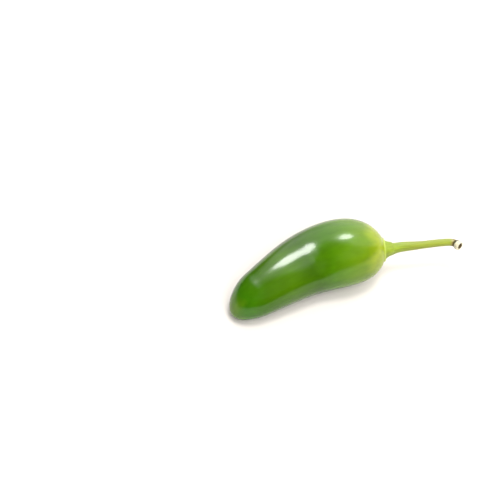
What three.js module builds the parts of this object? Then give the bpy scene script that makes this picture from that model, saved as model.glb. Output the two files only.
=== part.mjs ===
// A green chilli pepper of the blunt, thick-walled kind, as picked, lying on its side.
// It has two pieces: the pod, and the stalk with the calyx that it grows out of.
// Millimetres, +Z up, +X along the pod from its tip to the stalk.
// The origin is on the ground, under the middle of the whole pepper.
import * as THREE from "three";

// The pod's centre line: a bow in the ground plane, with the tip at x = 0.
const podLength = 68.7; // straight from the tip to the middle of the stalk's seat
const bowNearTip = { along: 42.5, aside: 6.5 };
const bowNearSeat = { along: 33.2, aside: 13.2 };

// The pod's girth, by distance along its centre line.
const coneRadius = 7.58; // what the cone's sides would have at the tip
const coneTaper = 0.133; // radius gained for each millimetre towards the stalk
const waistSwell = 0.29; // the middle's sides stand out of the straight cone by this much
const waistStart = 8;
const tipRound = { length: 11.4, power: 2.19 };
const shoulderRound = { length: 30.6, power: 2.6 };

// The three lobes of the fruit show at its shoulder, which leans to the low front side.
const lobeCount = 3;
const lobeDepth = 0.052; // as a share of the radius
const lobeStart = 28.1; // distance along the centre line where the lobes begin
const lobeTurn = THREE.MathUtils.degToRad(-130);
const shoulderLean = 0.085; // as a share of the radius
const leanTurn = THREE.MathUtils.degToRad(50);

// As it lies, the pod's round section is a little wider than it is high.
const flatness = 0.056; // as a share of the radius
const flatEnd = 14; // over this length at either end the section turns round
const bendFlatness = 0.048; // more of it where the pod bends
const bendMiddle = 39;
const bendSpread = 12;

// How the pod lies: on a flat spot under its belly and one behind its tip.
const tipHeight = 4.3; // the tip's middle above the ground
const seatHeight = 14.9; // the stalk's seat above the ground
const restSink = 0.4; // how much of the round belly is pressed flat
const bellyArch = 0.7; // how far the underside rises between the two flat spots
const archSpan = { from: 9, to: 37 };

// The seat of the calyx: a shallow round bed with a raised line of skin about it.
const seatRadius = 4.45;
const seatDepth = 0.8;
const lipRadius = 4.85;
const lipRise = 0.3;
const podEdge = 5.4; // where the plain shoulder ends and the lip begins

// The stalk, by distance along its own centre line from the underside of the calyx.
const seatGap = 0.3; // clear space between the calyx and its bed
const calyxRadius = 4;
const calyxRim = 0.6; // thickness of the calyx at its edge
const stalkRadius = 1.65;
const stalkThinning = 0.09; // radius lost from the end of the flare to the neck
const neckRadius = 1.3; // the dark groove where the corky end starts
const knobRadius = 2;
const knobLength = 2.9;
const pitRadius = 1.15; // the hollow in the broken-off end
const pitDepth = 0.9;
const ribCount = 5;
const ribDepth = 0.045; // of the ribs on the stalk, as a share of its radius
const toothDepth = 0.06; // of the blunt teeth round the calyx

const podSides = 56;
const podRings = 46;
const stalkSides = 40;
const flareRings = 12;
const shaftRings = 13;

const skinGreen = 0x4c8c00;
const stalkGreen = 0xa9c24a;

function smooth(value, from, to) {
  return THREE.MathUtils.smoothstep(value, from, to);
}

function bump(value, from, to) {
  const share = THREE.MathUtils.clamp((value - from) / (to - from), 0, 1);
  return Math.sin(Math.PI * share);
}

// A quarter of a rounded end: 0 at the very end and 1 from one length inside it.
function roundedEnd(distance, end) {
  const share = THREE.MathUtils.clamp(1 - distance / end.length, 0, 1);
  return Math.sqrt(1 - Math.pow(share, end.power));
}

const podLine = new THREE.CubicBezierCurve3(
  new THREE.Vector3(0, 0, 0),
  new THREE.Vector3(bowNearTip.along, bowNearTip.aside, 0),
  new THREE.Vector3(bowNearSeat.along, bowNearSeat.aside, 0),
  new THREE.Vector3(podLength, 0, 0),
);
const podRun = podLine.getLength();
const shoulderStart = podRun - shoulderRound.length;

function coneAt(distance) {
  return coneRadius + coneTaper * distance;
}

function podRadius(distance) {
  const side = coneAt(distance) + waistSwell * bump(distance, waistStart, shoulderStart);
  return side * roundedEnd(distance, tipRound) * roundedEnd(podRun - distance, shoulderRound);
}

function flatAt(distance) {
  const bend = bendFlatness * Math.exp(-Math.pow((distance - bendMiddle) / bendSpread, 2));
  return (flatness + bend) * smooth(distance, 2, flatEnd) * smooth(podRun - distance, 0, flatEnd);
}

// The height of the centre line: the belly and the tip lie down, and the seat has a height of its own.
function podHeight(distance) {
  const belly = coneAt(distance) * (1 - flatAt(distance)) - restSink;
  const lying = belly + bellyArch * bump(distance, archSpan.from, archSpan.to);
  const tipShare = Math.pow(THREE.MathUtils.clamp(1 - distance / tipRound.length, 0, 1), 2);
  const nose = THREE.MathUtils.lerp(lying, tipHeight, tipShare);
  return THREE.MathUtils.lerp(nose, seatHeight, smooth(distance, shoulderStart, podRun));
}

// The straight pod's outline from tip to seat: radius across, distance along.
function podOutline() {
  const outline = [];
  let edge = podRun;
  while (podRadius(edge) < podEdge) edge -= 0.02;
  for (let i = 0; i < podRings; i++) {
    const turn = (Math.PI * i) / podRings;
    const along = (edge * (1 - Math.cos(turn))) / 2;
    outline.push(new THREE.Vector2(podRadius(along), along));
  }
  outline[0].x = 0;
  const bed = podRun - seatDepth;
  outline.push(new THREE.Vector2(podEdge, edge));
  outline.push(new THREE.Vector2((podEdge + lipRadius) / 2, edge + 0.7 * lipRise));
  outline.push(new THREE.Vector2(lipRadius, bed + lipRise));
  outline.push(new THREE.Vector2(seatRadius, bed + 0.4 * lipRise));
  outline.push(new THREE.Vector2(seatRadius - 0.15, bed));
  outline.push(new THREE.Vector2(seatRadius / 2, bed));
  outline.push(new THREE.Vector2(0, bed));
  return outline;
}

// Bends a straight lathed shape: its axis follows the line, and place() says where each point goes.
function bendAlong(geometry, place) {
  const points = geometry.attributes.position;
  for (let i = 0; i < points.count; i++) {
    const x = points.getX(i);
    const z = points.getZ(i);
    const target = place(points.getY(i), Math.hypot(x, z), Math.atan2(x, z));
    points.setXYZ(i, target.x, target.y, target.z);
  }
  geometry.deleteAttribute("normal");
  geometry.deleteAttribute("uv");
  return geometry;
}

function placeOnPod(distance, radius, turn) {
  const share = THREE.MathUtils.clamp(distance / podRun, 0, 1);
  const middle = podLine.getPointAt(share);
  const along = podLine.getTangentAt(share);
  const across = new THREE.Vector3(-along.y, along.x, 0);
  const shoulder = smooth(distance, lobeStart, podRun);
  const lobes = lobeDepth * shoulder * Math.cos(lobeCount * (turn - lobeTurn));
  const lobed = radius * (1 + lobes + flatAt(distance) * Math.cos(2 * turn));
  const lean = -shoulderLean * shoulder * lobed * Math.cos(turn - leanTurn);
  middle.z = podHeight(distance) + lobed * Math.sin(turn);
  middle.addScaledVector(across, lobed * Math.cos(turn));
  middle.addScaledVector(along, lean);
  middle.z = Math.max(middle.z, 0);
  return middle;
}

function makePod() {
  const straight = new THREE.LatheGeometry(podOutline(), podSides);
  const skin = new THREE.MeshStandardMaterial({ color: skinGreen, roughness: 0.25, metalness: 0 });
  const pod = new THREE.Mesh(bendAlong(straight, placeOnPod), skin);
  pod.name = "pod";
  return pod;
}

// The stalk leaves the middle of the seat, rises a little and bends to the front at its corky end.
const seatTangent = podLine.getTangentAt(1);
const seatNormal = new THREE.Vector3(-seatTangent.y, seatTangent.x, 0)
  .multiplyScalar(shoulderLean * Math.cos(leanTurn))
  .add(new THREE.Vector3(0, 0, shoulderLean * Math.sin(leanTurn)))
  .add(seatTangent)
  .normalize();
const calyxBase = podLine.getPointAt(1).addScaledVector(seatNormal, seatGap - seatDepth);
calyxBase.z += seatHeight;
const stalkLine = new THREE.CatmullRomCurve3(
  [
    calyxBase,
    calyxBase.clone().addScaledVector(seatNormal, stalkRadius),
    new THREE.Vector3(70.8, -0.4, 14.6),
    new THREE.Vector3(75, -1.1, 14.8),
    new THREE.Vector3(83, -3.5, 15.3),
    new THREE.Vector3(91.1, -5.6, 15.6),
    new THREE.Vector3(95.7, -7.4, 15.8),
    new THREE.Vector3(97.4, -10.9, 16.7),
  ],
  false,
  "centripetal",
);
const stalkRun = stalkLine.getLength();
const knobStart = stalkRun - knobLength;

// The flare from the calyx down to the plain stalk, a curve through five widths.
const flareLine = new THREE.SplineCurve([
  new THREE.Vector2(calyxRadius - 0.3, calyxRim + 0.2),
  new THREE.Vector2(3.1, 2),
  new THREE.Vector2(2.3, 4.8),
  new THREE.Vector2(2, 10),
  new THREE.Vector2(stalkRadius, 16),
]);

function stalkOutline() {
  const outline = [];
  outline.push(new THREE.Vector2(0, 0));
  outline.push(new THREE.Vector2(calyxRadius / 2, 0));
  outline.push(new THREE.Vector2(calyxRadius - 0.2, 0));
  outline.push(new THREE.Vector2(calyxRadius, calyxRim / 3));
  outline.push(new THREE.Vector2(calyxRadius, (2 * calyxRim) / 3));
  outline.push(...flareLine.getSpacedPoints(flareRings));
  const flareEnd = outline.at(-1).y;
  for (let i = 1; i <= shaftRings; i++) {
    const share = i / (shaftRings + 1);
    const along = THREE.MathUtils.lerp(flareEnd, knobStart, share);
    outline.push(new THREE.Vector2(stalkRadius - stalkThinning * share, along));
  }
  outline.push(new THREE.Vector2(neckRadius, knobStart));
  outline.push(new THREE.Vector2(neckRadius, knobStart + 0.35));
  outline.push(new THREE.Vector2(0.9 * knobRadius, knobStart + 0.8));
  outline.push(new THREE.Vector2(knobRadius, knobStart + 0.5 * knobLength));
  outline.push(new THREE.Vector2(0.95 * knobRadius, stalkRun - 0.4));
  outline.push(new THREE.Vector2(0.78 * knobRadius, stalkRun));
  outline.push(new THREE.Vector2(pitRadius, stalkRun - 0.15));
  outline.push(new THREE.Vector2(0.75 * pitRadius, stalkRun - 0.7 * pitDepth));
  outline.push(new THREE.Vector2(0.35 * pitRadius, stalkRun - pitDepth));
  outline.push(new THREE.Vector2(0, stalkRun - pitDepth));
  return outline;
}

function placeOnStalk(distance, radius, turn) {
  const share = THREE.MathUtils.clamp(distance / stalkRun, 0, 1);
  const middle = stalkLine.getPointAt(share);
  const along = stalkLine.getTangentAt(share);
  const across = new THREE.Vector3(-along.y, along.x, 0).normalize();
  const upward = new THREE.Vector3().crossVectors(along, across);
  const calyx = 1 - smooth(distance, calyxRim, 4 * calyxRim);
  const ribbed = 1 - smooth(distance, knobStart - 1, knobStart);
  const depth = THREE.MathUtils.lerp(ribDepth * ribbed, toothDepth, calyx);
  const wide = radius * (1 + depth * (Math.cos(ribCount * turn) - 1) * 0.5);
  middle.addScaledVector(across, wide * Math.cos(turn));
  middle.addScaledVector(upward, wide * Math.sin(turn));
  return middle;
}

function makeStalk() {
  const straight = new THREE.LatheGeometry(stalkOutline(), stalkSides);
  const rind = new THREE.MeshStandardMaterial({ color: stalkGreen, roughness: 0.5, metalness: 0 });
  const stalk = new THREE.Mesh(bendAlong(straight, placeOnStalk), rind);
  stalk.name = "stalk";
  return stalk;
}

const pepper = new THREE.Group();
pepper.add(makePod(), makeStalk());

// The frame's origin goes under the middle of the whole pepper, at ground height.
const box = new THREE.Box3().setFromObject(pepper, true);
const middle = box.getCenter(new THREE.Vector3());
pepper.position.set(-middle.x, -middle.y, -box.min.z);

export default pepper;
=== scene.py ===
# A green chilli pepper of the blunt, thick-walled kind, lying on its side on a pale surface.
# Metres, +Z up, +X along the pod from its tip to its stalk. The shape's own values are in millimetres.
import bisect
import math

import bmesh
import bpy
from mathutils import Euler, Matrix, Vector, noise


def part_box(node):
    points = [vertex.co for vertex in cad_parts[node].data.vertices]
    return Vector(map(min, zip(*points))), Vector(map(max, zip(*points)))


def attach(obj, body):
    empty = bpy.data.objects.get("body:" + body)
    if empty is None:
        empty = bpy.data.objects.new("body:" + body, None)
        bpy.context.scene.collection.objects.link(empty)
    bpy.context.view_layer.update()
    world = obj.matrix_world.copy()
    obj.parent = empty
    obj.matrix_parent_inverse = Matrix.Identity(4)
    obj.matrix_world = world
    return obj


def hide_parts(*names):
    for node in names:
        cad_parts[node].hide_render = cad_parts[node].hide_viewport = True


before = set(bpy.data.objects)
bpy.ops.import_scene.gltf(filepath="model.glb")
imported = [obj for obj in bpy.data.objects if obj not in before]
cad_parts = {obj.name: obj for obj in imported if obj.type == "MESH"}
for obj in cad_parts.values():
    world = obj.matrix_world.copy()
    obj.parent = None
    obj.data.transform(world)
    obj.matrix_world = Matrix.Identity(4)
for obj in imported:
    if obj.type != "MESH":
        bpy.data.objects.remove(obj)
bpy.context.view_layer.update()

mm = 0.001
print("frame loaded")


# General helpers

def clamp(value, low=0.0, high=1.0):
    return min(max(value, low), high)


def mix(low, high, share):
    return low + (high - low) * share


def smooth(value, start, end):
    share = clamp((value - start) / (end - start))
    return share * share * (3 - 2 * share)


def bump(value, start, end):
    return math.sin(math.pi * clamp((value - start) / (end - start)))


# sRGB hex to the linear colour that nodes work with
def colour(code):
    channels = [int(code[i:i + 2], 16) / 255 for i in (1, 3, 5)]
    return [c / 12.92 if c <= 0.04045 else ((c + 0.055) / 1.055) ** 2.4 for c in channels] + [1]


# Adds a node, sets it up and links its inputs; stops fill a colour ramp with (position, hex colour)
def addNode(tree, kind, settings=None, values=None, links=None, stops=None):
    node = tree.nodes.new(kind)
    for name, value in (settings or {}).items():
        setattr(node, name, value)
    for name, value in (values or {}).items():
        node.inputs[name].default_value = value
    for name, socket in (links or {}).items():
        tree.links.new(socket, node.inputs[name])
    if stops:
        ramp = node.color_ramp
        while len(ramp.elements) < len(stops):
            ramp.elements.new(0.5)
        for element, (position, code) in zip(ramp.elements, stops):
            element.position = position
            element.color = colour(code)
    return node


# A line that can be read by distance: its points, their directions and how far along each one is
def measureLine(pointAt, steps=600):
    points = [pointAt(i / steps) for i in range(steps + 1)]
    reach = [0.0]
    for before, after in zip(points, points[1:]):
        reach.append(reach[-1] + (after - before).length)
    directions = []
    for i in range(steps + 1):
        ahead = points[min(i + 1, steps)]
        behind = points[max(i - 1, 0)]
        directions.append((ahead - behind).normalized())
    return {"points": points, "directions": directions, "reach": reach, "run": reach[-1]}


def readLine(line, distance):
    at = clamp(distance, 0, line["run"])
    i = min(bisect.bisect_right(line["reach"], at), len(line["reach"]) - 1)
    share = (at - line["reach"][i - 1]) / (line["reach"][i] - line["reach"][i - 1])
    point = line["points"][i - 1].lerp(line["points"][i], share)
    direction = line["directions"][i - 1].lerp(line["directions"][i], share).normalized()
    return point, direction


# A smooth curve through points; power 0 spaces its knots evenly and 0.5 by the chords' square roots
def curveThrough(points, share, power=0.5):
    spans = len(points) - 1
    i = min(int(share * spans), spans - 1)
    before = points[i - 1] if i else 2 * points[0] - points[1]
    after = points[i + 2] if i + 2 <= spans else 2 * points[-1] - points[-2]
    four = [before, points[i], points[i + 1], after]
    gaps = [(b - a).length ** power for a, b in zip(four, four[1:])]
    slopes = [(b - a) / gap for a, b, gap in zip(four, four[1:], gaps)]
    wide = [(b - a) / (p + q) for a, b, p, q in zip(four, four[2:], gaps, gaps[1:])]
    start = (slopes[0] - wide[0] + slopes[1]) * gaps[1]
    end = (slopes[1] - wide[1] + slopes[2]) * gaps[1]
    t = share * spans - i
    span = four[2] - four[1]
    return four[1] + start * t + (3 * span - 2 * start - end) * t * t + (start + end - 2 * span) * t ** 3


# An outline's points on a smooth curve through its corners, both ends included
def roundedThrough(corners, rings):
    return [tuple(curveThrough(corners, i / rings, 0)) for i in range(rings + 1)]


# Spins an outline of (radius, along) about the X axis into a closed shell
def spinOutline(outline, sides):
    samePoint = 0.0005
    shell = bmesh.new()
    dots = [shell.verts.new((along, radius, 0)) for radius, along in outline]
    edges = [shell.edges.new(pair) for pair in zip(dots, dots[1:])]
    bmesh.ops.spin(shell, geom=dots + edges, axis=(1, 0, 0), cent=(0, 0, 0),
                   angle=2 * math.pi, steps=sides, use_merge=True)
    bmesh.ops.remove_doubles(shell, verts=shell.verts, dist=samePoint)
    bmesh.ops.recalc_face_normals(shell, faces=shell.faces)
    return shell


# Keeps each vertex's straight place, in millimetres, for the materials' patterns, then moves it with bend()
def bendShell(shell, bend):
    kept = shell.verts.layers.float_vector.new("straightPlace")
    for vert in shell.verts:
        vert[kept] = vert.co
        radius = math.hypot(vert.co.y, vert.co.z)
        vert.co = bend(vert.co.x, radius, math.atan2(vert.co.z, vert.co.y)) * mm
    bmesh.ops.recalc_face_normals(shell, faces=shell.faces)


def finishPiece(shell, name, material):
    mesh = bpy.data.meshes.new(name)
    shell.to_mesh(mesh)
    shell.free()
    mesh.shade_smooth()
    mesh.materials.append(material)
    piece = bpy.data.objects.new(name, mesh)
    bpy.context.scene.collection.objects.link(piece)
    return piece


# Pod: a rounded cone, bent on the ground, with three faint lobes at its shoulder

podShape = {
    "length": 68.7,
    "bowNearTip": (42.5, 6.5),
    "bowNearSeat": (33.2, 13.2),
    "coneRadius": 7.58,
    "coneTaper": 0.133,
    "waistSwell": 0.29,
    "waistStart": 8,
    "tipRound": (11.4, 2.19),  # length and power
    "shoulderRound": (30.6, 2.6),
    "lobeCount": 3,
    "lobeDepth": 0.052,
    "lobeStart": 28.1,
    "lobeTurn": math.radians(-130),
    "shoulderLean": 0.085,
    "leanTurn": math.radians(50),
    "flatness": 0.056,  # the sides stand out and the top and bottom come in by this share of the radius
    "flatStart": 2,  # it grows from here to flatEnd past the tip, and fades over flatEnd before the seat
    "flatEnd": 14,
    "bendFlatness": 0.048,  # more of it where the pod bends
    "bendMiddle": 39,
    "bendSpread": 12,
    "tipHeight": 4.3,
    "seatHeight": 14.9,
    "restSink": 0.4,
    "bellyArch": 0.7,
    "archSpan": (9, 37),
    "seatRadius": 4.45,
    "seatDepth": 0.8,
    "lipRadius": 4.85,
    "lipRise": 0.3,
    "podEdge": 5.4,
    "edgeStep": 0.02,  # how finely that radius is looked for along the shoulder
    "sides": 180,
    "rings": 200,
    "lipRings": 24,
    "waveHeight": 0.07,  # soft unevenness of the fruit wall, longer than it is wide
    "waveLength": (11, 6),
    "waveStart": 7.3,  # which stretch of the noise it takes
    "rippleHeight": 0.012,  # finer waves that break up the edge of a highlight
    "rippleLength": (3.2, 2.2),
    "rippleStart": 3.1,
    "fadeAtTip": (1, 8),  # waves and ripples fade in past the tip and out before the seat
    "fadeAtSeat": (4, 2),
}


def bowPoint(share):
    near = Vector((*podShape["bowNearTip"], 0))
    far = Vector((*podShape["bowNearSeat"], 0))
    end = Vector((podShape["length"], 0, 0))
    rest = 1 - share
    return 3 * rest * rest * share * near + 3 * rest * share * share * far + share ** 3 * end


podLine = measureLine(bowPoint)
podRun = podLine["run"]
shoulderStart = podRun - podShape["shoulderRound"][0]


def roundedEnd(distance, end):
    length, power = end
    return math.sqrt(max(1 - clamp(1 - distance / length) ** power, 0))


def coneAt(distance):
    return podShape["coneRadius"] + podShape["coneTaper"] * distance


def podRadius(distance):
    swell = podShape["waistSwell"] * bump(distance, podShape["waistStart"], shoulderStart)
    tip = roundedEnd(distance, podShape["tipRound"])
    shoulder = roundedEnd(podRun - distance, podShape["shoulderRound"])
    return (coneAt(distance) + swell) * (tip * shoulder)


def flatAt(distance):
    end = podShape["flatEnd"]
    fromBend = (distance - podShape["bendMiddle"]) / podShape["bendSpread"]
    most = podShape["flatness"] + podShape["bendFlatness"] * math.exp(-fromBend ** 2)
    return most * smooth(distance, podShape["flatStart"], end) * smooth(podRun - distance, 0, end)


# The height of the centre line: the belly lies down, and the tip and the seat have heights of their own
def podHeight(distance):
    belly = coneAt(distance) * (1 - flatAt(distance)) - podShape["restSink"]
    lying = belly + podShape["bellyArch"] * bump(distance, *podShape["archSpan"])
    nose = mix(lying, podShape["tipHeight"], clamp(1 - distance / podShape["tipRound"][0]) ** 2)
    return mix(nose, podShape["seatHeight"], smooth(distance, shoulderStart, podRun))


def podOutline():
    edge = podRun
    while podRadius(edge) < podShape["podEdge"]:
        edge -= podShape["edgeStep"]
    rings = podShape["rings"]
    outline = []
    for i in range(rings):
        along = edge * (1 - math.cos(math.pi * i / rings)) / 2
        outline.append((podRadius(along) if i else 0, along))
    bed = podRun - podShape["seatDepth"]
    rise = podShape["lipRise"]
    lipWide = podShape["lipRadius"]
    seatWide = podShape["seatRadius"]
    lip = [
        Vector((podShape["podEdge"], edge)),
        Vector(((podShape["podEdge"] + lipWide) / 2, edge + 0.7 * rise)),
        Vector((lipWide, bed + rise)),
        Vector((seatWide, bed + 0.4 * rise)),
        Vector((seatWide - 0.15, bed)),
    ]
    outline += roundedThrough(lip, podShape["lipRings"])
    outline += [(0.8 * seatWide, bed), (0.5 * seatWide, bed), (0.2 * seatWide, bed), (0, bed)]
    return outline


# Soft waves and fine ripples of the skin, as a height in millimetres
def podRelief(distance, radius, turn):
    y = radius * math.cos(turn)
    z = radius * math.sin(turn)
    longWave, wideWave = podShape["waveLength"]
    longRipple, wideRipple = podShape["rippleLength"]
    wavePlace = (distance / longWave + podShape["waveStart"], y / wideWave, z / wideWave)
    ripplePlace = (distance / longRipple, y / wideRipple + podShape["rippleStart"], z / wideRipple)
    wave = noise.noise(Vector(wavePlace))
    ripple = noise.noise(Vector(ripplePlace))
    seatStart, seatEnd = podShape["fadeAtSeat"]
    tipFade = smooth(distance, *podShape["fadeAtTip"])
    seatFade = 1 - smooth(distance, podRun - seatStart, podRun - seatEnd)
    return tipFade * seatFade * (podShape["waveHeight"] * wave + podShape["rippleHeight"] * ripple)


def placeOnPod(distance, radius, turn):
    middle, along = readLine(podLine, distance)
    across = Vector((-along.y, along.x, 0))
    shoulder = smooth(distance, podShape["lobeStart"], podRun)
    lobeAngle = podShape["lobeCount"] * (turn - podShape["lobeTurn"])
    lobes = podShape["lobeDepth"] * shoulder * math.cos(lobeAngle)
    lobed = radius * (1 + lobes + flatAt(distance) * math.cos(2 * turn))
    lean = -podShape["shoulderLean"] * shoulder * lobed * math.cos(turn - podShape["leanTurn"])
    wide = lobed + podRelief(distance, radius, turn)
    point = middle + across * wide * math.cos(turn) + along * lean
    point.z = max(podHeight(distance) + wide * math.sin(turn), 0)
    return point


# Stalk with its calyx: a flared foot, a ribbed shaft, a groove and a corky end with a pit

stalkShape = {
    "seatGap": 0.3,
    "calyxRadius": 4,
    "calyxRim": 0.6,
    "stalkRadius": 1.65,
    "stalkThinning": 0.09,
    "neckRadius": 1.3,
    "knobRadius": 2,
    "knobLength": 2.9,
    "pitRadius": 1.15,
    "pitDepth": 0.9,
    "ribCount": 5,
    "ribDepth": 0.045,
    "toothDepth": 0.06,
    "route": [
        (70.8, -0.4, 14.6), (75, -1.1, 14.8), (83, -3.5, 15.3),
        (91.1, -5.6, 15.6), (95.7, -7.4, 15.8), (97.4, -10.9, 16.7),
    ],
    "flare": [(3.1, 2), (2.3, 4.8), (2, 10), (1.65, 16)],
    "ribFade": 1,  # the ribs fade out over this before the groove
    "sides": 96,
    "edgeRings": 18,
    "flareRings": 60,
    "shaftRings": 90,
    "endRings": 48,
    "fibreHeight": 0.035,  # fine lengthwise ridges
    "fibreLength": (9, 0.55),
    "fibreStart": 4,  # they are at their full height from here on
    "corkHeight": 0.16,  # crumbly unevenness of the broken end
    "corkLength": 0.7,
    "corkFade": 0.6,  # the crumbs grow over this past the groove
}


def stalkRoute():
    seat, normal = readLine(podLine, podRun)
    across = Vector((-normal.y, normal.x, 0))
    lean = podShape["shoulderLean"]
    turn = podShape["leanTurn"]
    normal = (normal + lean * (across * math.cos(turn) + Vector((0, 0, math.sin(turn))))).normalized()
    base = seat + normal * (stalkShape["seatGap"] - podShape["seatDepth"])
    base.z += podShape["seatHeight"]
    points = [base, base + normal * stalkShape["stalkRadius"]]
    points += [Vector(point) for point in stalkShape["route"]]
    return measureLine(lambda share: curveThrough(points, share))


stalkLine = stalkRoute()
stalkRun = stalkLine["run"]
knobStart = stalkRun - stalkShape["knobLength"]


def stalkOutline():
    calyxWide = stalkShape["calyxRadius"]
    rim = stalkShape["calyxRim"]
    outline = [(0, 0), (calyxWide * 0.25, 0), (calyxWide * 0.5, 0), (calyxWide * 0.75, 0)]
    edge = [
        Vector((calyxWide - 0.2, 0)),
        Vector((calyxWide, rim / 3)),
        Vector((calyxWide, 2 * rim / 3)),
        Vector((calyxWide - 0.3, rim + 0.2)),
    ]
    outline += roundedThrough(edge, stalkShape["edgeRings"])[:-1]
    flare = [edge[-1]] + [Vector(point) for point in stalkShape["flare"]]
    outline += roundedThrough(flare, stalkShape["flareRings"])
    flareEnd = flare[-1].y
    rings = stalkShape["shaftRings"]
    for i in range(1, rings):
        share = i / rings
        wide = stalkShape["stalkRadius"] - stalkShape["stalkThinning"] * share
        outline.append((wide, mix(flareEnd, knobStart, share)))
    knobWide = stalkShape["knobRadius"]
    pitWide = stalkShape["pitRadius"]
    pitDeep = stalkShape["pitDepth"]
    end = [
        Vector((stalkShape["stalkRadius"] - stalkShape["stalkThinning"], knobStart - 0.1)),
        Vector((stalkShape["neckRadius"], knobStart + 0.1)),
        Vector((stalkShape["neckRadius"], knobStart + 0.35)),
        Vector((0.9 * knobWide, knobStart + 0.8)),
        Vector((knobWide, knobStart + 0.5 * stalkShape["knobLength"])),
        Vector((0.95 * knobWide, stalkRun - 0.4)),
        Vector((0.78 * knobWide, stalkRun)),
        Vector((pitWide, stalkRun - 0.15)),
        Vector((0.75 * pitWide, stalkRun - 0.7 * pitDeep)),
        Vector((0.35 * pitWide, stalkRun - pitDeep)),
    ]
    outline = [point for point in outline if point[1] < knobStart - 0.15]
    outline += roundedThrough(end, stalkShape["endRings"])
    outline.append((0, stalkRun - pitDeep))
    return outline


# Lengthwise fibres on the shaft and crumbs on the corky end, as a height in millimetres
def stalkRelief(distance, radius, turn):
    longFibre, wideFibre = stalkShape["fibreLength"]
    y = radius * math.cos(turn)
    z = radius * math.sin(turn)
    fibre = noise.noise(Vector((distance / longFibre, y / wideFibre, z / wideFibre)))
    crumb = noise.noise(Vector((distance, y, z)) / stalkShape["corkLength"])
    cork = smooth(distance, knobStart, knobStart + stalkShape["corkFade"])
    shaft = smooth(distance, stalkShape["calyxRim"], stalkShape["fibreStart"]) * (1 - cork)
    fibres = stalkShape["fibreHeight"] * shaft * fibre
    crumbs = stalkShape["corkHeight"] * cork * crumb * min(radius, 1)
    return fibres + crumbs


def placeOnStalk(distance, radius, turn):
    middle, along = readLine(stalkLine, distance)
    across = Vector((-along.y, along.x, 0)).normalized()
    upward = along.cross(across)
    rim = stalkShape["calyxRim"]
    calyx = 1 - smooth(distance, rim, 4 * rim)
    ribbed = 1 - smooth(distance, knobStart - stalkShape["ribFade"], knobStart)
    depth = mix(stalkShape["ribDepth"] * ribbed, stalkShape["toothDepth"], calyx)
    wide = radius * (1 + depth * (math.cos(stalkShape["ribCount"] * turn) - 1) * 0.5)
    wide += stalkRelief(distance, radius, turn)
    return middle + across * wide * math.cos(turn) + upward * wide * math.sin(turn)


# Materials

# Nearly all of a noise's values lie between these two
noiseLow = 0.3
noiseHigh = 0.7

skinLook = {
    # the fruit's own greens from its tip to the stalk's seat, by share of its length
    "growth": [
        (0.0, "#56790a"), (0.07, "#336604"), (0.2, "#365b02"), (0.34, "#3e6202"), (0.5, "#315302"),
        (0.64, "#406b03"), (0.76, "#507606"), (0.87, "#5c790c"), (0.95, "#869414"), (1.0, "#85951c"),
    ],
    "stretch": 0.35,  # the patterns are longer than they are wide, as the wall's tissue grows
    "driftSize": 7,  # millimetres of the slow drift between darker and paler green
    "driftAmount": 0.07,
    "mottleSize": 2.6,
    "mottleShades": (0.9, 1.08),
    "lip": "#a3b24e",  # the pale raised line round the calyx
    "lipWidth": 0.75,
    "lipBlur": 0.004,  # by share of the length
    # the cuticle is glossy up to the middle and duller towards the shoulder, by share of the length
    "dulling": (0.5, 0.8),
    "roughness": (0.2, 0.265),
    "rippleSize": 0.9,
    "rippleDepth": 0.02,
    "rippleStrength": 0.25,
    "surface": {
        "IOR": 1.36,
        "Coat Weight": 0.2,
        "Coat Roughness": 0.1,
        "Subsurface Weight": 0.12,
        "Subsurface Radius": (1.0, 0.9, 0.25),
        "Subsurface Scale": 0.0012,
    },
}


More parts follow.
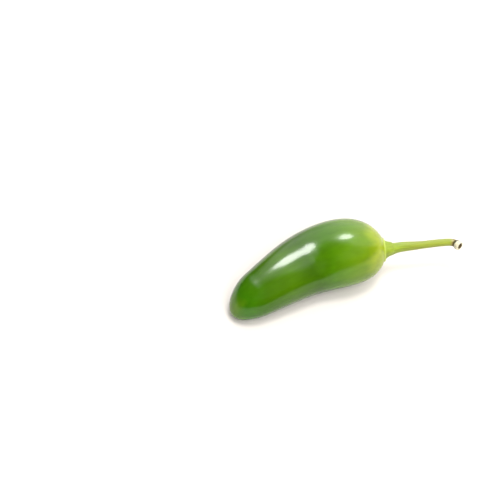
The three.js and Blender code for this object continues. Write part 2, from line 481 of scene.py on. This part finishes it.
# Waxy fruit skin: a clear smooth cuticle over soft green flesh, for sharp reflections and a little glow
def makeSkinMaterial():
    look = skinLook
    material = bpy.data.materials.new("waxyGreenSkin")
    material.use_nodes = True
    tree = material.node_tree
    tree.nodes.clear()
    output = addNode(tree, "ShaderNodeOutputMaterial")
    place = addNode(tree, "ShaderNodeAttribute", {"attribute_name": "straightPlace"}).outputs["Vector"]
    drawn = addNode(tree, "ShaderNodeMapping", values={"Scale": (look["stretch"], 1, 1)},
                    links={"Vector": place})
    drift = addNode(tree, "ShaderNodeTexNoise", values={"Scale": 1 / look["driftSize"], "Detail": 2},
                    links={"Vector": drawn.outputs["Vector"]})
    along = addNode(tree, "ShaderNodeSeparateXYZ", links={"Vector": place}).outputs["X"]
    share = addNode(tree, "ShaderNodeMath", {"operation": "DIVIDE"}, {1: podRun}, {0: along})
    centred = addNode(tree, "ShaderNodeMath", {"operation": "SUBTRACT"}, {1: 0.5}, {0: drift.outputs["Fac"]})
    moved = addNode(tree, "ShaderNodeMath", {"operation": "MULTIPLY_ADD"}, {1: 2 * look["driftAmount"]},
                    {0: centred.outputs[0], 2: share.outputs[0]})
    growth = addNode(tree, "ShaderNodeValToRGB", stops=look["growth"], links={"Fac": moved.outputs[0]})
    mottle = addNode(tree, "ShaderNodeTexNoise",
                     values={"Scale": 1 / look["mottleSize"], "Detail": 4, "Roughness": 0.6},
                     links={"Vector": drawn.outputs["Vector"]})
    darker, paler = look["mottleShades"]
    shade = addNode(tree, "ShaderNodeMapRange",
                    values={"From Min": noiseLow, "From Max": noiseHigh, "To Min": darker, "To Max": paler},
                    links={"Value": mottle.outputs["Fac"]})
    green = addNode(tree, "ShaderNodeVectorMath", {"operation": "SCALE"},
                    links={0: growth.outputs["Color"], "Scale": shade.outputs["Result"]})
    lipStart = 1 - look["lipWidth"] / podRun
    atLip = addNode(tree, "ShaderNodeMapRange", {"interpolation_type": "SMOOTHSTEP"},
                    {"From Min": lipStart - look["lipBlur"], "From Max": lipStart},
                    {"Value": share.outputs[0]})
    lipped = addNode(tree, "ShaderNodeMix", {"data_type": "RGBA"}, {"B": colour(look["lip"])},
                     {"Factor": atLip.outputs["Result"], "A": green.outputs["Vector"]})
    low, high = look["dulling"]
    glossy, dull = look["roughness"]
    dulled = addNode(tree, "ShaderNodeMapRange", {"interpolation_type": "SMOOTHSTEP"},
                     {"From Min": low, "From Max": high, "To Min": glossy, "To Max": dull},
                     {"Value": share.outputs[0]})
    ripple = addNode(tree, "ShaderNodeTexNoise", values={"Scale": 1 / look["rippleSize"], "Detail": 3},
                     links={"Vector": place})
    bumped = addNode(tree, "ShaderNodeBump",
                     values={"Strength": look["rippleStrength"], "Distance": look["rippleDepth"] * mm},
                     links={"Height": ripple.outputs["Fac"]})
    shader = addNode(tree, "ShaderNodeBsdfPrincipled", values=look["surface"],
                     links={"Base Color": lipped.outputs["Result"], "Normal": bumped.outputs["Normal"],
                            "Roughness": dulled.outputs["Result"]})
    tree.links.new(shader.outputs["BSDF"], output.inputs["Surface"])
    return material


rindLook = {
    # the rind's colours, from the calyx to the broken end
    "foot": "#7f9129",
    "shaft": "#848f2e",
    "tan": "#8b7f45",
    "ring": "#3a3413",
    "cork": "#c6bfa4",
    # the pit's dark brown is the dried tissue's own colour deepened with painted shade for its hollow
    "pit": "#4a3c20",
    # where they are, by share of the stalk's length, and from where the corky end starts
    "footBands": [("foot", 0.0), ("foot", 0.2), ("shaft", 0.4)],
    "endBands": [("shaft", -0.07), ("tan", -0.02), ("ring", 0.01), ("ring", 0.03), ("cork", 0.045)],
    "wander": 1.0,  # how far, in millimetres, the edges between them wander
    "wanderSize": 1.25,
    "pitShadeEdge": (0.35, -0.1),  # the pit's dark fades in from outside its rim to inside it
    "pitShadeStart": 1,  # and only this far past the groove
    "stretch": 0.06,  # fibres are far longer than they are wide
    "fibreSize": 0.5,
    "fibreShades": (0.8, 1.16),
    "fibreDepth": 0.05,
    "fibreStrength": 0.4,
    "surface": {
        "IOR": 1.42,
        "Roughness": 0.42,
        "Subsurface Weight": 0.1,
        "Subsurface Radius": (1.0, 0.9, 0.3),
        "Subsurface Scale": 0.0006,
    },
}


# Satin green rind of a fruit stalk: fibres under a thin dull cuticle, then dry cork where it broke off
def makeRindMaterial():
    look = rindLook
    material = bpy.data.materials.new("satinStalkRind")
    material.use_nodes = True
    tree = material.node_tree
    tree.nodes.clear()
    output = addNode(tree, "ShaderNodeOutputMaterial")
    place = addNode(tree, "ShaderNodeAttribute", {"attribute_name": "straightPlace"}).outputs["Vector"]
    apart = addNode(tree, "ShaderNodeSeparateXYZ", links={"Vector": place}).outputs
    wobble = addNode(tree, "ShaderNodeTexNoise", values={"Scale": 1 / look["wanderSize"], "Detail": 2},
                     links={"Vector": place})
    moved = addNode(tree, "ShaderNodeMath", {"operation": "MULTIPLY_ADD"}, {1: look["wander"]},
                    {0: wobble.outputs["Fac"], 2: apart["X"]})
    share = addNode(tree, "ShaderNodeMath", {"operation": "DIVIDE"}, {1: stalkRun + look["wander"] / 2},
                    {0: moved.outputs[0]})
    knob = knobStart / stalkRun
    stops = [(position, look[name]) for name, position in look["footBands"]]
    stops += [(knob + offset, look[name]) for name, offset in look["endBands"]]
    stops.append((1.0, look["cork"]))
    bands = addNode(tree, "ShaderNodeValToRGB", links={"Fac": share.outputs[0]}, stops=stops)
    drawn = addNode(tree, "ShaderNodeMapping", values={"Scale": (look["stretch"], 1, 1)},
                    links={"Vector": place})
    fibres = addNode(tree, "ShaderNodeTexNoise", values={"Scale": 1 / look["fibreSize"], "Detail": 3},
                     links={"Vector": drawn.outputs["Vector"]})
    darker, paler = look["fibreShades"]
    shade = addNode(tree, "ShaderNodeMapRange",
                    values={"From Min": noiseLow, "From Max": noiseHigh, "To Min": darker, "To Max": paler},
                    links={"Value": fibres.outputs["Fac"]})
    tone = addNode(tree, "ShaderNodeVectorMath", {"operation": "SCALE"},
                   links={0: bands.outputs["Color"], "Scale": shade.outputs["Result"]})
    # painted shade: the hollow in the broken end is coloured dark brown, partly the dried tissue's own
    # colour and partly shade painted in for the recess
    across = addNode(tree, "ShaderNodeCombineXYZ", links={"Y": apart["Y"], "Z": apart["Z"]})
    aside = addNode(tree, "ShaderNodeVectorMath", {"operation": "LENGTH"},
                    links={0: across.outputs["Vector"]})
    outside, inside = look["pitShadeEdge"]
    pitWide = stalkShape["pitRadius"]
    pitShadeMask = addNode(tree, "ShaderNodeMapRange", {"interpolation_type": "SMOOTHSTEP"},
                     {"From Min": pitWide + outside, "From Max": pitWide + inside},
                     {"Value": aside.outputs["Value"]})
    atEnd = addNode(tree, "ShaderNodeMath", {"operation": "GREATER_THAN"}, {1: knobStart + look["pitShadeStart"]},
                    {0: apart["X"]})
    pitPaintedShade = addNode(tree, "ShaderNodeMath", {"operation": "MULTIPLY"},
                       links={0: pitShadeMask.outputs["Result"], 1: atEnd.outputs[0]})
    pitShaded = addNode(tree, "ShaderNodeMix", {"data_type": "RGBA"}, {"B": colour(look["pit"])},
                     {"Factor": pitPaintedShade.outputs[0], "A": tone.outputs["Vector"]})
    bumped = addNode(tree, "ShaderNodeBump",
                     values={"Strength": look["fibreStrength"], "Distance": look["fibreDepth"] * mm},
                     links={"Height": fibres.outputs["Fac"]})
    shader = addNode(tree, "ShaderNodeBsdfPrincipled", values=look["surface"],
                     links={"Base Color": pitShaded.outputs["Result"], "Normal": bumped.outputs["Normal"]})
    tree.links.new(shader.outputs["BSDF"], output.inputs["Surface"])
    return material


# Pieces

podShell = spinOutline(podOutline(), podShape["sides"])
bendShell(podShell, placeOnPod)
stalkShell = spinOutline(stalkOutline(), stalkShape["sides"])
bendShell(stalkShell, placeOnStalk)


# The frame's origin is under the middle of the pepper, so both pieces move by what brings the pod to its box
def moveToFrame(shells, reference, node):
    low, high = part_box(node)
    shift = Vector((0, 0, low.z))
    for axis in (0, 1):
        own = [vert.co[axis] for vert in reference.verts]
        shift[axis] = (low[axis] + high[axis] - min(own) - max(own)) / 2
    for shell in shells:
        bmesh.ops.translate(shell, verts=shell.verts, vec=shift)


moveToFrame([podShell, stalkShell], podShell, "pod")
pod = finishPiece(podShell, "podSkin", makeSkinMaterial())
stalk = finishPiece(stalkShell, "stalkAndCalyx", makeRindMaterial())
for piece, node, slot in ((pod, "pod", "skin"), (stalk, "stalk", "stalk_rind")):
    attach(piece, "root")
    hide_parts(node)
print("pod and stalk made:", len(pod.data.polygons), len(stalk.data.polygons), "faces")


# Camera, floor and light

viewSetup = {
    "lens": 100,
    "sensor": 36,
    "nearest": 0.01,
    "elevation": math.radians(52),
    "turn": math.radians(-21.08),
    "distance": 0.575,
    "aim": Vector((-0.03123, 0.03177, 0)),
}


# A direction or place given to the right of, away from and above the camera's ground point
def fromView(right, away, up):
    turned = Euler((0, 0, viewSetup["turn"])).to_matrix()
    return turned @ Vector((right, away, up))


def makeCamera():
    data = bpy.data.cameras.new("photoCamera")
    data.lens = viewSetup["lens"]
    data.sensor_width = viewSetup["sensor"]
    data.clip_start = viewSetup["nearest"]
    camera = bpy.data.objects.new("photoCamera", data)
    elevation = viewSetup["elevation"]
    back = fromView(0, -math.cos(elevation), math.sin(elevation))
    camera.location = viewSetup["aim"] + back * viewSetup["distance"]
    camera.rotation_euler = (math.pi / 2 - elevation, 0, viewSetup["turn"])
    bpy.context.scene.collection.objects.link(camera)
    bpy.context.scene.camera = camera


floorLook = {
    "size": 2.5,
    "paper": "#d2ccc7",
    "roughness": 0.9,
    "specular": 0.1,
}


# Matt white paper, a little warm, so that it has no gloss and its shadows aren't grey
def makeFloor():
    slab = bmesh.new()
    bmesh.ops.create_grid(slab, x_segments=1, y_segments=1, size=floorLook["size"])
    material = bpy.data.materials.new("mattWhitePaper")
    material.use_nodes = True
    shader = material.node_tree.nodes["Principled BSDF"]
    shader.inputs["Base Color"].default_value = colour(floorLook["paper"])
    shader.inputs["Roughness"].default_value = floorLook["roughness"]
    shader.inputs["Specular IOR Level"].default_value = floorLook["specular"]
    floor = finishPiece(slab, "floor", material)


lightSetup = {
    # each lamp: its direction from the pepper as the camera sees it, its size and what it shines with
    "key": {"toward": (-0.17, 0.45, 0.87), "size": (0.42, 0.36), "radiance": 25},
    "top": {"toward": (0.12, -0.03, 0.99), "size": (0.3, 0.3), "radiance": 22},
    "fill": {"toward": (0.25, -0.6, 0.75), "size": (1.2, 0.8), "radiance": 5},
    "lampDistance": 0.93,
    "longSide": (1, 0, 0),
    "backdropRadiance": 1.1,
    "backRadiance": 2.15,
    "frontRadiance": 0.02,
    "backAxis": (0.36, 0.65, 0.67),
    "backEdge": (0.48, 0.66),
}


# A lamp is either seen in the gloss or lights the surfaces, so gloss and shadow each have their own shape
def makeLamp(name, seenInGloss):
    setup = lightSetup[name]
    data = bpy.data.lights.new(name + "SoftBox", "AREA")
    data.shape = "ELLIPSE"
    data.size, data.size_y = setup["size"]
    data.energy = setup["radiance"] * math.pi * data.size * data.size_y * math.pi / 4
    lamp = bpy.data.objects.new(data.name, data)
    toward = fromView(*setup["toward"]).normalized()
    side = toward.cross(fromView(*lightSetup["longSide"])).normalized()
    lamp.location = toward * lightSetup["lampDistance"]
    lamp.rotation_euler = Matrix((side.cross(toward), side, toward)).transposed().to_euler()
    lamp.visible_glossy = seenInGloss
    lamp.visible_diffuse = not seenInGloss
    bpy.context.scene.collection.objects.link(lamp)


# A pale room, bright behind and beside the pepper and dark in front of it, so that its gloss has a shape
def makeRoom():
    world = bpy.data.worlds.new("studio")
    world.use_nodes = True
    bpy.context.scene.world = world
    tree = world.node_tree
    tree.nodes.clear()
    output = addNode(tree, "ShaderNodeOutputWorld")
    looking = addNode(tree, "ShaderNodeTexCoord").outputs["Generated"]
    axis = fromView(*lightSetup["backAxis"]).normalized()
    facing = addNode(tree, "ShaderNodeVectorMath", {"operation": "DOT_PRODUCT"}, {1: axis}, {0: looking})
    edge = lightSetup["backEdge"]
    room = addNode(tree, "ShaderNodeMapRange", {"interpolation_type": "SMOOTHSTEP"},
                   {"From Min": edge[0], "From Max": edge[1], "To Min": lightSetup["frontRadiance"],
                    "To Max": lightSetup["backRadiance"]},
                   {"Value": facing.outputs["Value"]})
    lit = addNode(tree, "ShaderNodeBackground", links={"Strength": room.outputs["Result"]})
    plain = addNode(tree, "ShaderNodeBackground", values={"Strength": lightSetup["backdropRadiance"]})
    seen = addNode(tree, "ShaderNodeLightPath").outputs["Is Camera Ray"]
    both = addNode(tree, "ShaderNodeMixShader", links={0: seen, 1: lit.outputs[0], 2: plain.outputs[0]})
    tree.links.new(both.outputs[0], output.inputs["Surface"])


makeCamera()
makeFloor()
makeRoom()
makeLamp("key", seenInGloss=True)
makeLamp("top", seenInGloss=False)
makeLamp("fill", seenInGloss=False)
bpy.context.scene.view_settings.view_transform = "Standard"
print("camera, floor and light made")
